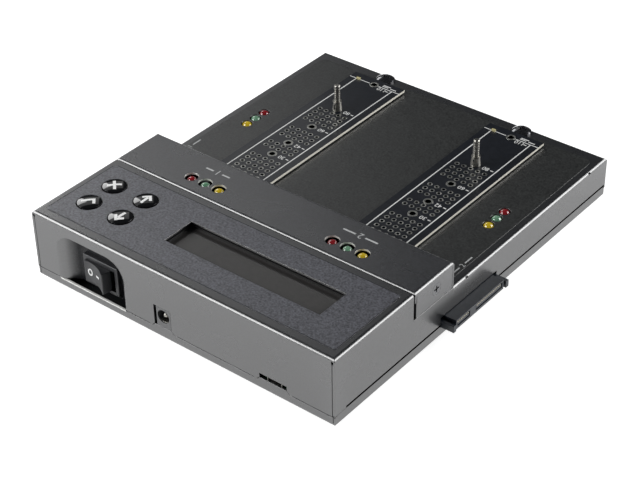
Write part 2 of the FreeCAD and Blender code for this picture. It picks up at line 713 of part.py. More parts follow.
def make_slots():
    """Both slots, plus the small parts they share."""
    tails = []
    rings = []
    inserts = []
    screws = []
    nuts = []
    chips = []
    nut_top = deck_z - sheet
    for x, side in zip(slot_x, ("target", "source")):
        tails += make_slot(x, side)
        for px, py in via_spots(x):
            rings.append(tube(px, py, slot_top, slot_top + 0.04, 1.25, via_r))
        for px, py in card_holes(x):
            barrel = tube(px, py, deck_z + 0.1, slot_top + film, insert_r - 0.45, insert_hole_r)
            rim = tube(px, py, slot_top, slot_top + film, insert_r, insert_hole_r)
            inserts.append(fuse([barrel, rim]))
        sx = x + slot_screw_dx
        nut_low = nut_top - slot_nut_h
        screws.append(pan_screw(sx, slot_screw_y, deck_z, nut_low + 0.2, *slot_screw_head, slot_screw_r))
        nuts.append(hex_nut(sx, slot_screw_y, nut_low, nut_top, 3.25, slot_screw_r + 0.1))
        end_y = slot_datum_y - card_lengths[-1]
        chips.append(box(x + 8.9, x + 10.9, end_y - 0.6, end_y + 0.6, slot_top, slot_top + 0.8))
        chip_y = slot_datum_y - 7.7
        for dx in (-9.0, -5.5):
            chips.append(box(x + dx, x + dx + 1.6, chip_y - 0.4, chip_y + 0.4, slot_top, slot_top + 0.6))
    keep("slot_pads", [make_pad(x) for x in slot_x])
    keep("card_socket_pins", tails)
    keep("plated_rings", rings)
    keep("card_inserts", inserts)
    keep("slot_screws", screws)
    keep("slot_nuts", nuts)
    keep("slot_chips", chips)


def pan_screw(x, y, seat, end, head_r, head_h, shank_r):
    """Pan-head Phillips screw seated at one height and pointing down."""
    edge = 0.35 * head_h
    ball_r = (head_r ** 2 + (head_h - edge) ** 2) / (2 * (head_h - edge))
    crown = Part.makeSphere(ball_r, V(x, y, seat + head_h - ball_r))
    crown = crown.common(cyl(x, y, seat + edge - 0.1, seat + head_h + 1, head_r))
    screw = fuse([cyl(x, y, seat, seat + edge, head_r), crown, cyl(x, y, end, seat + 0.1, shank_r)])
    arm = 0.5 * head_r
    half = 0.11 * head_r
    low = seat + head_h - 0.6 * head_h
    cross = fuse([box(x - arm, x + arm, y - half, y + half, low, seat + head_h + 1),
                  box(x - half, x + half, y - arm, y + arm, low, seat + head_h + 1)])
    return screw.cut(cross)


def hex_nut(x, y, z0, z1, flat, hole_r):
    """Hexagon nut measured across half its flats."""
    corner_r = flat / math.cos(math.pi / 6)
    points = [(x + corner_r * math.cos(math.radians(60 * k)), y + corner_r * math.sin(math.radians(60 * k)))
              for k in range(6)]
    return prism(points, "z", z0, z1).cut(cyl(x, y, z0 - 1, z1 + 1, hole_r))


def make_sata():
    """Drive connectors on both case sides, with their boards and contacts."""
    x_in = half_w - 9.0
    x_out = half_w + sata_out
    z0, z1 = sata_z
    y0, y1 = sata_y
    a0, a1 = sata_arm_y
    block = box(x_in, x_out, y0, y1, z0, z1)
    mouth_z0 = z0 + 1.1
    mouth_z1 = z1 - 0.7
    signal_y = (y1 - 0.9 - 9.4, y1 - 0.9)
    power_y = (y0 + 0.9, y0 + 0.9 + 20.6)
    depth = 5.2
    cavities = [box(x_out - depth, x_out + 1, s[0], s[1], mouth_z0, mouth_z1) for s in (signal_y, power_y)]
    tongue_z = (mouth_z0 + 0.75, mouth_z0 + 1.95)
    tongues = [box(x_out - depth - 0.5, x_out - 0.2, low + 0.6, high - 0.6, *tongue_z)
               for low, high in (signal_y, power_y)]
    far_arm = box(half_w - 2, x_out + 0.6, a0, a0 + 2.0, z0, z1 - 1.4)
    near_arm = box(half_w - 2, x_out + 0.6, a1 - 1.8, a1, z0, z1 - 1.4)
    root = box(half_w - 5, half_w - 1.6, a0, a1, z0, z1 - 1.4)
    body = fuse([cut(block, cavities), far_arm, near_arm, root] + tongues)
    pins = []
    for (s0, s1), count in ((signal_y, 7), (power_y, 15)):
        first = (s0 + s1) / 2 - (count - 1) / 2 * pin_pitch
        for n in range(count):
            py = first + n * pin_pitch
            pin = box(x_out - depth + 0.6, x_out - 0.25, py - 0.42, py + 0.42, tongue_z[1], tongue_z[1] + 0.2)
            pins.append(pin)
    keep("drive_socket_target", body)
    keep("drive_socket_source", mirror_x(body))
    keep("drive_socket_pins", [p for pin in pins for p in both_sides(pin)])
    board = box(half_w - 24.5, half_w - 2.0, y0 - 36.4, y1 + 5.4, main_top - board_t, main_top)
    board = cut(board, [cyl(x, y, 0, 20, m3_shank_r + 0.15) for x, y in side_board_spots()])
    keep("side_board_target", board)
    keep("side_board_source", mirror_x(board))


def side_board_spots():
    y = sata_y[0]
    return [(half_w - 20.5, y - 32.4), (half_w - 6.0, y - 32.4), (half_w - 18.5, y + 27.6)]


def main_board_spots():
    x = half_w - 11.5
    y = main_step_y + 9.0
    return [(-x, half_l - 7.0), (-x, y), (22.0, half_l - 6.0), (x, y), (x, half_l - 16.0)]


def from_rear(x0, x1, back, front, height):
    """A block on the main board; back and front are distances from the rear wall."""
    return box(x0, x1, half_l - front, half_l - back, main_top, main_top + height)


def make_boards():
    """Main board and what is soldered to it."""
    low = main_top - board_t
    rear = half_l - sheet - 0.6
    front = bridge_front_y + 1.4
    step = main_step_y
    notch = half_l - 10.0
    wide = half_w - 6.5
    narrow = half_w - 26.5
    switch_side = recess_x[0] - 3.25
    outline = [(-narrow, front), (narrow, front), (narrow, step), (wide, step), (wide, notch),
               (switch_side, notch), (switch_side, rear), (-wide, rear), (-wide, step), (-narrow, step)]
    board = prism(outline, "z", low, main_top)
    keep("main_board", cut(board, [cyl(x, y, 0, 20, m3_shank_r + 0.15) for x, y in main_board_spots()]))
    spots = main_board_spots() + side_board_spots() + [(-x, y) for x, y in side_board_spots()]
    keep("board_standoffs", [tube(x, y, floor_top, low, standoff_r, m3_hole_r) for x, y in spots])
    screws = [pan_screw(x, y, main_top, floor_top + 0.4, screw_head_r, screw_head_h, m3_shank_r)
              for x, y in spots]
    keep("board_screws", screws + [flip_screw(x, y, panel_top - board_t) for x, y in panel_spots()])
    keep("main_chips", [
        from_rear(-40, -20, 32, 52, 1.6),
        from_rear(2, 16, 50, 64, 1.2),
        from_rear(-64, -52, 48, 56, 1.0),
        from_rear(44, 58, 38, 52, 1.4),
        from_rear(-42, -34, 10, 16, 1.0),
        from_rear(-10, -4, 33, 38, 1.0),
    ])
    cans = ((20.0, 20.0), (-2.0, 18.0), (-9.5, 18.0), (20.0, 42.0))
    keep("main_capacitors", [cyl(x, half_l - back, main_top, main_top + 9.0, 3.15) for x, back in cans])
    keep("main_inductors", [from_rear(x - 3.5, x + 3.5, 24.5, 31.5, 4.0) for x in (9.5, -2.0)])
    header_y = (deck_back_y + 0.5, deck_back_y + 4.5)
    keep("slot_headers", [box(x - 12, x + 12, *header_y, main_top, slot_top - slot_board_t) for x in slot_x])


def make_panel_board():
    """Board behind the panel, its studs, and the cable and sockets that join the boards."""
    low = panel_top - board_t
    x = half_w - 4.5
    panel = box(4.0 - x, x, slot_back_y + 1.2, half_l - 7.0, low, panel_top)
    keep("panel_board", cut(panel, [cyl(px, py, 0, 50, m3_shank_r + 0.15) for px, py in panel_spots()]))
    keep("panel_studs", [tube(px, py, panel_top, roof_z - sheet, 2.6, m3_hole_r) for px, py in panel_spots()])
    left = 14.5 - half_w
    y = half_l - 17.0
    sockets = [box(left, left + 25, y - 3, y + 3, main_top, main_top + 5),
               box(left, left + 25, y - 3, y + 3, low - 5, low)]
    keep("flat_cable", box(left + 2, left + 23, y - 0.4, y + 0.4, main_top + 5, low - 5))
    plug_y = sata_y[1] + 6.4
    plug_top = main_top + 4.0
    plugs = both_sides(box(half_w - 22.5, half_w - 10.5, plug_y - 6.5, plug_y + 6.5, main_top, plug_top))
    lead_plug = box(switch_x - 9.0, switch_x + 3.0, lead_y - 3, lead_y + 3, main_top, lead_top)
    keep("board_sockets", sockets + plugs + [lead_plug])


def panel_spots():
    left = 12.5 - half_w
    right = half_w - 8.5
    return [(left, half_l - 11.0), (left, half_l - 46.0), (right, half_l - 12.0), (right, half_l - 46.0),
            (key_x[1] - 11.4, half_l - 46.0)]


def flip_screw(x, y, seat):
    """Pan-head screw that points up from under a board."""
    screw = pan_screw(x, y, 0, -6.0, screw_head_r, screw_head_h, m3_shank_r)
    screw.rotate(V(x, y, 0), V(1, 0, 0), 180)
    screw.translate(V(0, 0, seat))
    return screw


def make_power_switch():
    """Rocker switch: snap-in body with bezel, rocker, terminals and leads."""
    back = half_l - recess_depth
    face = switch_face_y
    bx, bz = bezel_half
    wx, wz = window_half
    hx, hz = body_half
    bezel = box(switch_x - bx, switch_x + bx, back, face, switch_z - bz, switch_z + bz)

    def bezel_rim(mid, run):
        return near(mid.y, face) or abs(run.y) > 0.9

    bezel = round_edges(bezel, 0.5, bezel_rim)
    body = box(switch_x - hx, switch_x + hx, body_back, back, switch_z - hz, switch_z + hz)
    pivot_y = face - pivot_depth
    hollow = box(switch_x - wx, switch_x + wx, body_back + 2.0, face + 1, switch_z - wz, switch_z + wz)
    bearing_z = switch_z - wz - 0.6
    bearing = cyl(switch_x, pivot_y, bearing_z, bearing_z + 2 * (wz + 0.6), pivot_r + pivot_clear)
    keep("switch_body", cut(fuse([bezel, body]), [hollow, bearing]))
    left = V(-rocker_len, rocker_rise, 0)
    right = V(rocker_len, rocker_rise, 0)
    under = [left, V(-rocker_len, 2.6, 0), V(-3.0, -3.0, 0), V(3.0, -3.0, 0), V(rocker_len, 2.6, 0), right]
    edges = [Part.makeLine(a, b) for a, b in zip(under, under[1:])]
    edges.append(Part.Arc(right, V(0, rocker_rise - rocker_dip, 0), left).toShape())
    rocker = Part.Face(Part.Wire(edges)).extrude(V(0, 0, 2 * rocker_half_h))
    rocker.translate(V(0, 0, -rocker_half_h))
    rocker = round_edges(rocker, 0.35, lambda mid, run: abs(run.z) > 0.9 and near(mid.y, rocker_rise))
    pin = Part.makeCylinder(pivot_r, 2 * (wz + 0.5), V(0, 0, -wz - 0.5), UP)
    rocker = fuse([rocker, pin])
    rocker.rotate(V(0, 0, 0), UP, -rocker_tilt)
    rocker.translate(V(switch_x, pivot_y, switch_z))
    keep("switch_rocker", rocker)
    offsets = (-6.0, 0.0)
    keep("switch_terminals", [box(switch_x + dx - 0.4, switch_x + dx + 0.4, tab_y, body_back, switch_z - 2.35,
                                  switch_z + 2.35) for dx in offsets])
    keep("switch_leads", [lead(switch_x + dx, tab_y, switch_z, lead_y, lead_top) for dx in offsets])


def lead(x, y0, z0, y1, z1):
    """Insulated wire from a switch terminal down to its header: run, bend, drop."""
    r = 3.5
    turn = V(x, y1 + r, z0)
    mid = V(x, y1 + r * (1 - math.sin(math.pi / 4)), z0 - r * (1 - math.cos(math.pi / 4)))
    drop = V(x, y1, z0 - r)
    path = Part.Wire([Part.makeLine(V(x, y0, z0), turn), Part.Arc(turn, mid, drop).toShape(),
                      Part.makeLine(drop, V(x, y1, z1))])
    ring = Part.Wire([Part.makeCircle(1.0, V(x, y0, z0), V(0, -1, 0))])
    return path.makePipeShell([ring], True, True)


def make_rear_sockets():
    """Power inlet and micro-USB service port on the main board's rear edge."""
    face = pan_y - sheet
    z0 = main_top
    x0, x1 = jack_x - jack_half_w, jack_x + jack_half_w
    nose = box(x0, x1, face - 1, half_l, tab_z + seam, jack_top)
    bore_end = half_l - jack_bore_depth
    bore = cyl_y(jack_x, jack_z, bore_end, half_l + 1, jack_bore_r)
    keep("power_inlet", fuse([box(x0, x1, face - jack_len, face, z0, jack_top), nose]).cut(bore))
    tip = half_l - 2.0
    rounded_tip = Part.makeSphere(jack_pin_r, V(jack_x, tip, jack_z))
    keep("power_pin", fuse([cyl_y(jack_x, jack_z, bore_end, tip, jack_pin_r), rounded_tip]))
    wall = 0.35
    usb_back = face - 5.6
    shell = box(usb_x - usb_half_w, usb_x + usb_half_w, usb_back, face, z0, usb_top)
    shell = round_edges(shell, 0.7, lambda mid, run: abs(run.y) > 0.9)
    room = usb_half_w - wall
    inside = box(usb_x - room, usb_x + room, usb_back + 0.8, face + 1, z0 + wall, usb_top - wall)
    inside = round_edges(inside, 0.4, lambda mid, run: abs(run.y) > 0.9)
    keep("usb_shell", shell.cut(inside))
    keep("usb_tongue", box(usb_x - 2.7, usb_x + 2.7, usb_back + 0.8, face - 0.8, z0 + 1.5, z0 + 2.1))


make_shell()
make_pan()
make_case_fixings()
make_bridge()
make_films()
make_display()
make_keys()
make_lamps()
make_slots()
make_sata()
make_boards()
make_panel_board()
make_power_switch()
make_rear_sockets()

os.makedirs("parts", exist_ok=True)
for name, shape in nodes.items():
    shape.exportStep("parts/%s.step" % name)
    print("%-24s solids %3d valid %s volume %.1f" % (name, len(shape.Solids), shape.isValid(), shape.Volume))
print("nodes:", len(nodes))
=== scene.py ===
import math

import bmesh
import bpy
from mathutils import Matrix, Vector


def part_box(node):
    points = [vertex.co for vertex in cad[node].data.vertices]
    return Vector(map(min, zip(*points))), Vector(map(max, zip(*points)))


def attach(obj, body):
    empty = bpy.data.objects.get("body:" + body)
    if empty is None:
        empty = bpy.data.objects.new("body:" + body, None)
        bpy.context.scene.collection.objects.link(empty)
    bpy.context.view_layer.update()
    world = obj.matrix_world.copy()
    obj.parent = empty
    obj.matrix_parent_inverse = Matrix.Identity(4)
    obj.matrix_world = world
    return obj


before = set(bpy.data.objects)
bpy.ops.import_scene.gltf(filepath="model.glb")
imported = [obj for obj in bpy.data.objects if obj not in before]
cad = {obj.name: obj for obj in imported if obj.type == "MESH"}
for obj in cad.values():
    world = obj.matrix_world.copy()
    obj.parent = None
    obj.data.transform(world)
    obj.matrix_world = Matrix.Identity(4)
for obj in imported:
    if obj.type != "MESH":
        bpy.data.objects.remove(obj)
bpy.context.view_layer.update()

scene = bpy.context.scene
MM = 0.001


# ---- Folded case: top shell and bottom pan ----
# 1 mm mild steel, laser cut, folded on a press brake, with a pocket welded in behind the
# switch opening.  Black powder coat: a satin skin with fine orange peel, soft over the folds.

def linear(colour):
    """An sRGB hex colour as linear RGBA."""
    parts = [int(colour[i:i + 2], 16) / 255 for i in (1, 3, 5)]
    return [c / 12.92 if c <= 0.04045 else ((c + 0.055) / 1.055) ** 2.4 for c in parts] + [1.0]


def add(mat, kind, values=None, links=None, **settings):
    """Add one shader node with its settings, its input values and the links into it."""
    made = mat.node_tree.nodes.new("ShaderNode" + kind)
    for key, value in settings.items():
        setattr(made, key, value)
    for key, value in (values or {}).items():
        made.inputs[key].default_value = value
    for key, output in (links or {}).items():
        mat.node_tree.links.new(output, made.inputs[key])
    return made


def material(name, **values):
    """A new material: returns it, its main shader and the object-space position output."""
    mat = bpy.data.materials.new(name)
    mat.use_nodes = True
    shader = mat.node_tree.nodes["Principled BSDF"]
    for key, value in values.items():
        shader.inputs[key.replace("_", " ")].default_value = value
    place = add(mat, "TexCoord").outputs["Object"]
    return mat, shader, place


def per_mm(size):
    """Texture scale that gives features of about this many millimetres."""
    return 1000.0 / size


def link(mat, output, shader, socket):
    mat.node_tree.links.new(output, shader.inputs[socket])


def mottle(mat, shader, place, light, dark, size, contrast=0.5):
    """Colour that drifts between two tones in grains of the given size."""
    noise = add(mat, "TexNoise", {"Scale": per_mm(size), "Detail": 3.0, "Roughness": 0.6}, {"Vector": place})
    half = 0.5 * (1.0 - contrast)
    ramp = add(mat, "ValToRGB", links={"Fac": noise.outputs["Fac"]})
    ramp.color_ramp.elements[0].position = half
    ramp.color_ramp.elements[0].color = linear(dark)
    ramp.color_ramp.elements[1].position = 1.0 - half
    ramp.color_ramp.elements[1].color = linear(light)
    link(mat, ramp.outputs["Color"], shader, "Base Color")


def relief(mat, shader, place, size, depth_mm, edge_mm=0.0):
    """Fine bump in grains of the given size and depth, over edges softened by a small radius."""
    noise = add(mat, "TexNoise", {"Scale": per_mm(size), "Detail": 2.0}, {"Vector": place})
    bump = add(mat, "Bump", {"Strength": 1.0, "Distance": depth_mm * MM}, {"Height": noise.outputs["Fac"]})
    link(mat, bump.outputs["Normal"], shader, "Normal")
    if edge_mm:
        bevel = add(mat, "Bevel", {"Radius": edge_mm * MM}, samples=8)
        link(mat, bevel.outputs["Normal"], bump, "Normal")


def vary_roughness(mat, shader, place, low, high, size):
    """Roughness that drifts between two values in soft patches."""
    noise = add(mat, "TexNoise", {"Scale": per_mm(size), "Detail": 2.0}, {"Vector": place})
    spread = add(mat, "MapRange", {"To Min": low, "To Max": high}, {"Value": noise.outputs["Fac"]})
    link(mat, spread.outputs["Result"], shader, "Roughness")


def dress(mat, *names):
    """Give CAD pieces their material."""
    for name in names:
        slots = cad[name].data.materials
        if len(slots) == 0:
            slots.append(mat)
        for i in range(len(slots)):
            slots[i] = mat


fold_r = 0.3


def powder_coat(name, light, dark):
    """Black polyester powder coat; 0.3 mm orange peel is drawn at 1 mm so that it shows."""
    mat, shader, place = material(name, IOR=1.75, Specular_IOR_Level=1.0)
    mottle(mat, shader, place, light, dark, 0.8)
    vary_roughness(mat, shader, place, 0.24, 0.32, 14.0)
    relief(mat, shader, place, 1.1, 0.006, fold_r)
    return mat, shader, place


def inside(mat, place, **ranges):
    """One inside a block given by ranges in millimetres along X, Y and Z, zero outside."""
    axes = add(mat, "SeparateXYZ", links={"Vector": place})
    tests = [add(mat, "Math", {1: end * MM}, {0: axes.outputs[axis]}, operation=test).outputs[0]
             for axis, ends in ranges.items() for end, test in zip(ends, ("GREATER_THAN", "LESS_THAN"))]
    mask = tests[0]
    for test in tests[1:]:
        mask = add(mat, "Math", links={0: mask, 1: test}, operation="MULTIPLY").outputs[0]
    return mask


def colour_over(mat, shader, mask, colour):
    """Lay another colour over the base colour where the mask is one."""
    under = shader.inputs["Base Color"].links[0].from_socket
    over = add(mat, "MixRGB", {"Color2": linear(colour)}, {"Fac": mask, "Color1": under})
    link(mat, over.outputs["Color"], shader, "Base Color")


case_paint, shader, place = powder_coat("powder_coated_steel_case", "#2c2d30", "#0e0f10")

# Recess around the switch: a soft 1.3 mm bend along its flat back, and no edge at all where
# the back sweeps out to meet the wall.
recess_x = (28.0, 71.5)
recess_y = (98.5, 110.0)
recess_z = (6.8, 33.0)
sweep_x = 58.0
recess_bend_r = 1.3
sweep_share = 0.02
pressed = inside(case_paint, place, X=recess_x, Y=recess_y, Z=recess_z)
drawn = inside(case_paint, place, X=(recess_x[0], sweep_x), Y=recess_y, Z=recess_z)
swept = inside(case_paint, place, X=(sweep_x, recess_x[1]), Y=recess_y, Z=recess_z)
bend = add(case_paint, "MapRange", {"To Min": fold_r * MM, "To Max": recess_bend_r * MM}, {"Value": drawn})
crisp = add(case_paint, "MapRange", {"To Min": 1.0, "To Max": sweep_share}, {"Value": swept})
bend = add(case_paint, "Math", links={0: bend.outputs["Result"], 1: crisp.outputs["Result"]},
           operation="MULTIPLY")
link(case_paint, bend.outputs[0], case_paint.node_tree.nodes["Bevel"], "Radius")

# Painted highlight: a bright line along the open bottom of the recess.
painted_lip_highlight = inside(case_paint, place, X=(30.8, 70.6), Y=recess_y, Z=(5.65, 6.4))
colour_over(case_paint, shader, painted_lip_highlight, "#e6e6e2")

# Painted shade: dark lines in the gaps where the shell closes on the pan, between the pan's tabs at the
# rear, and along both sides.
rear_face = (103.8, 104.2)
rear_runs = ((-90.0, -62.5), (-42.0, 0.5), (15.5, 30.3), (71.0, 90.0))
side_walls = ((-85.0, -83.0), (83.0, 85.0))
seam_shade_bands = [inside(case_paint, place, X=run, Y=rear_face, Z=(6.4, 6.8)) for run in rear_runs]
seam_shade_bands += [inside(case_paint, place, X=wall, Z=(7.15, 7.4)) for wall in side_walls]
painted_seam_shade = seam_shade_bands[0]
for seam_shade_band in seam_shade_bands[1:]:
    painted_seam_shade = add(case_paint, "Math", links={0: painted_seam_shade, 1: seam_shade_band}, operation="MAXIMUM").outputs[0]
colour_over(case_paint, shader, painted_seam_shade, "#060606")

# Painted shade: the sheen falls off towards the back of the recess, and the painted seam shade has none.
recess_shade_y = (102.8, 99.4)
recess_shade_sheen = 0.08
inward = add(case_paint, "SeparateXYZ", links={"Vector": place}).outputs["Y"]
thin = add(case_paint, "MapRange", {"From Min": recess_shade_y[0] * MM, "From Max": recess_shade_y[1] * MM},
           {"Value": inward})
thin = add(case_paint, "Math", links={0: thin.outputs["Result"], 1: pressed}, operation="MULTIPLY")
sheen = add(case_paint, "MapRange", {"To Min": 1.0, "To Max": recess_shade_sheen}, {"Value": thin.outputs[0]})
skin = add(case_paint, "Math", {0: 1.0}, {1: painted_seam_shade}, operation="SUBTRACT")
sheen = add(case_paint, "Math", links={0: sheen.outputs["Result"], 1: skin.outputs[0]}, operation="MULTIPLY")
link(case_paint, sheen.outputs[0], shader, "Specular IOR Level")
dress(case_paint, "top_shell", "bottom_pan", "switch_pocket")


# ---- Rubber feet ----
# Four stick-on discs of moulded black rubber under the pan.  The mould leaves them matt
# with a faint grain.

foot_rubber, shader, place = material("moulded_rubber_feet", IOR=1.52)
mottle(foot_rubber, shader, place, "#262626", "#1c1c1c", 1.5)
vary_roughness(foot_rubber, shader, place, 0.75, 0.9, 3.0)
relief(foot_rubber, shader, place, 0.6, 0.03)
dress(foot_rubber, "rubber_feet")


# ---- Bare steel parts inside: brackets, standoffs, studs, nuts and board screws ----
# Turned standoffs and studs, stamped brackets, nuts and headed screws in zinc-plated steel:
# bright grey with soft blotches and a fine grain.

zinc_plate, shader, place = material("zinc_plated_steel", Metallic=1.0)
mottle(zinc_plate, shader, place, "#c4c5c2", "#9a9c9a", 2.0)
vary_roughness(zinc_plate, shader, place, 0.28, 0.45, 1.5)
relief(zinc_plate, shader, place, 0.5, 0.006)
dress(zinc_plate, "case_brackets", "board_standoffs", "board_screws", "panel_studs", "slot_nuts")


# ---- Bridge cover ----
# The removable folded cover over the card sockets, in the same sheet and powder coat as the
# case, drawn a shade lighter as painted light.  The walls of its lamp holes carry a painted highlight.

def walls(mat):
    """One on upright faces, zero on level ones."""
    face = add(mat, "NewGeometry")
    axes = add(mat, "SeparateXYZ", links={"Vector": face.outputs["True Normal"]})
    level = add(mat, "Math", links={0: axes.outputs["Z"]}, operation="ABSOLUTE")
    return add(mat, "Math", {1: 0.5}, {0: level.outputs[0]}, operation="LESS_THAN").outputs[0]


# Painted light: the same coat is drawn a shade lighter on the bridge than on the case.
bridge_paint, shader, place = powder_coat("powder_coated_steel_bridge", "#393a3e", "#141517")
# Painted highlight: the upright walls of the lamp holes are drawn pale grey.
lamp_row = inside(bridge_paint, place, X=(-70.0, 70.0), Y=(31.0, 44.0))
painted_bore_highlight_and_shade = add(bridge_paint, "Math", links={0: walls(bridge_paint), 1: lamp_row}, operation="MULTIPLY")
colour_over(bridge_paint, shader, painted_bore_highlight_and_shade.outputs[0], "#d2d2cc")
dress(bridge_paint, "bridge_cover")


# ---- Screws that show: case, bridge and slot screws ----
# Cold-headed steel screws with a black zinc finish and a wax seal: dark metal with a soft
# sheen that catches the light on the edges of the cross.

black_zinc, shader, place = material("black_zinc_screws", Metallic=0.8, Coat_Weight=1.0, Coat_Roughness=0.04)
mottle(black_zinc, shader, place, "#55565a", "#2a2b2e", 0.8)
vary_roughness(black_zinc, shader, place, 0.14, 0.24, 0.8)
relief(black_zinc, shader, place, 0.4, 0.004, 0.25)
dress(black_zinc, "case_screws", "bridge_screws", "slot_screws")


# ---- Overlay films on the housing and on the deck ----
# 0.15 mm polycarbonate, screen printed on the back and fine-textured on the face, glued
# to the steel.  The texture sparkles as light and dark specks.

def overlay(name, light, dark, grain, low, high):
    """Textured polycarbonate; the 0.2 mm texture is drawn at the grain size so that it shows."""
    mat, shader, place = material(name, IOR=1.58, Specular_IOR_Level=1.0)
    mottle(mat, shader, place, light, dark, grain, 0.35)
    vary_roughness(mat, shader, place, low, high, 9.0)
    relief(mat, shader, place, grain, 0.035, 0.1)
    return mat


panel_print = overlay("textured_polycarbonate_panel", "#64656d", "#222328", 0.9, 0.34, 0.44)
deck_print = overlay("textured_polycarbonate_deck", "#363837", "#050505", 0.9, 0.30, 0.40)
dress(panel_print, "panel_film")
dress(deck_print, "deck_film")

# Painted shade: a dark line along the edge of the panel film, standing in for the shade at the film's edge.
film_edge_shade, shader, place = material("painted_film_edge_shade", IOR=1.5)
mottle(film_edge_shade, shader, place, "#2c2d30", "#222326", 1.0)
vary_roughness(film_edge_shade, shader, place, 0.45, 0.6, 4.0)


def piece(name, mesh, mat, body="case"):
    """Make a mesh into a named piece that rides on a body."""
    mesh.materials.clear()
    mesh.materials.append(mat)
    made = bpy.data.objects.new(name, mesh)
    scene.collection.objects.link(made)
    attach(made, body)


def finish_mesh(bm, name):
    bmesh.ops.recalc_face_normals(bm, faces=bm.faces)
    mesh = bpy.data.meshes.new(name)
    bm.to_mesh(mesh)
    bm.free()
    return mesh


def thicken(bm, outline, low, high):
    """Add a flat closed shape: outline points in XY, between two heights."""
    under = [bm.verts.new((x, y, low)) for x, y in outline]
    over = [bm.verts.new((x, y, high)) for x, y in outline]
    bm.faces.new(list(reversed(under)))
    bm.faces.new(over)
    count = len(outline)
    for i in range(count):
        j = (i + 1) % count
        bm.faces.new((under[i], under[j], over[j], over[i]))


def strip(bm, start, end, width, low, high):
    """Add one straight printed line as a thin closed bar, in millimetres."""
    run = Vector((end[0] - start[0], end[1] - start[1]))
    side = Vector((-run.y, run.x)).normalized() * width / 2
    corners = [(start[0] - side.x, start[1] - side.y), (end[0] - side.x, end[1] - side.y),
               (end[0] + side.x, end[1] + side.y), (start[0] + side.x, start[1] + side.y)]
    thicken(bm, [(x * MM, y * MM) for x, y in corners], low * MM, high * MM)


ink = 0.03
# Painted shade along the panel film's edge, drawn as a thin dark border line.
low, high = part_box("panel_film")
panel_top = high.z / MM
border_w = 0.35
corner_r = 1.5
inset = border_w / 2
left, right = low.x / MM + inset, high.x / MM - inset
front, rear = low.y / MM + inset, high.y / MM - inset
corners = [Vector(c) for c in ((left, front), (right, front), (right, rear), (left, rear))]
bm = bmesh.new()
for i, start in enumerate(corners):
    end = corners[(i + 1) % 4]
    run = (end - start).normalized() * corner_r
    strip(bm, start + run, end - run, border_w, panel_top, panel_top + ink)
piece("panel_film_edge_shade", finish_mesh(bm, "panel_film_edge_shade"), film_edge_shade)


# ---- Display ----
# Character display: a black steel frame over dark polarised glass, with a white light
# guide behind it.  Switched off, the glass is a warm near-black with a soft gloss.

frame_black, shader, place = material("black_oxide_display_frame", IOR=1.5)
mottle(frame_black, shader, place, "#232323", "#1a1a1a", 1.2)
vary_roughness(frame_black, shader, place, 0.4, 0.55, 3.0)
relief(frame_black, shader, place, 0.6, 0.01)
dress(frame_black, "display_frame")

polariser, shader, place = material("polarised_display_glass", IOR=1.5, Coat_Weight=0.3, Coat_Roughness=0.12)
mottle(polariser, shader, place, "#3e3c3b", "#363534", 3.0)
vary_roughness(polariser, shader, place, 0.3, 0.38, 12.0)
dress(polariser, "display_glass")

light_guide, shader, place = material("acrylic_light_guide", IOR=1.49)
mottle(light_guide, shader, place, "#dfe0da", "#cfd0ca", 2.0)
vary_roughness(light_guide, shader, place, 0.3, 0.4, 3.0)
dress(light_guide, "display_backlight")


# ---- Keys and their switches ----
# Domed caps of gloss black ABS with white printed symbols: tick, cross and two arrows.
# The switches under them, the lamp spacers and the board headers are moulded black nylon.

gloss_abs, shader, place = material("gloss_black_abs_keys", IOR=1.53, Specular_IOR_Level=0.15,
                                    Coat_Weight=1.0, Coat_Roughness=0.02)
mottle(gloss_abs, shader, place, "#0e0e10", "#08080a", 1.5)
vary_roughness(gloss_abs, shader, place, 0.05, 0.09, 4.0)
relief(gloss_abs, shader, place, 3.0, 0.002, 0.5)
dress(gloss_abs, "key_accept", "key_cancel", "key_up", "key_down")

white_ink, shader, place = material("white_screen_print", IOR=1.5)
mottle(white_ink, shader, place, "#ffffff", "#f4f4f2", 0.8)
vary_roughness(white_ink, shader, place, 0.4, 0.55, 2.0)
relief(white_ink, shader, place, 0.5, 0.005)

black_nylon, shader, place = material("moulded_black_nylon", IOR=1.53)
mottle(black_nylon, shader, place, "#2b2c2e", "#222325", 0.9)
vary_roughness(black_nylon, shader, place, 0.38, 0.5, 3.0)
relief(black_nylon, shader, place, 0.7, 0.01)
dress(black_nylon, "key_switches", "lamp_spacers", "slot_headers")

key_rim_r = 5.5
key_rise = 0.65
key_ball_r = (key_rim_r ** 2 + key_rise ** 2) / (2 * key_rise)
stroke_w = 1.35
ink_root = 0.02
key_symbols = {
    "key_accept": [[(-3.0, 0.2), (-0.9, -2.1), (3.0, 2.2)]],
    "key_cancel": [[(-2.4, -2.4), (2.4, 2.4)], [(-2.4, 2.4), (2.4, -2.4)]],
    "key_up": [[(0.0, -3.1), (0.0, 1.6)], [(-2.5, 0.4), (0.0, 2.9), (2.5, 0.4)]],
    "key_down": [[(0.0, 3.1), (0.0, -1.6)], [(-2.5, -0.4), (0.0, -2.9), (2.5, -0.4)]],
}


def stroke_outline(points, width):
    """Outline polygon of a mitred polyline."""
    pts = [Vector(p) for p in points]
    left, right = [], []
    for i, p in enumerate(pts):
        before = (p - pts[i - 1]).normalized() if i > 0 else None
        after = (pts[i + 1] - p).normalized() if i < len(pts) - 1 else None
        run = (before + after).normalized() if before and after else (before or after)
        side = Vector((-run.y, run.x))
        if before and after:
            side = side / max(0.3, side.dot(Vector((-after.y, after.x))))
        left.append(p + side * width / 2)
        right.append(p - side * width / 2)
    return left, right


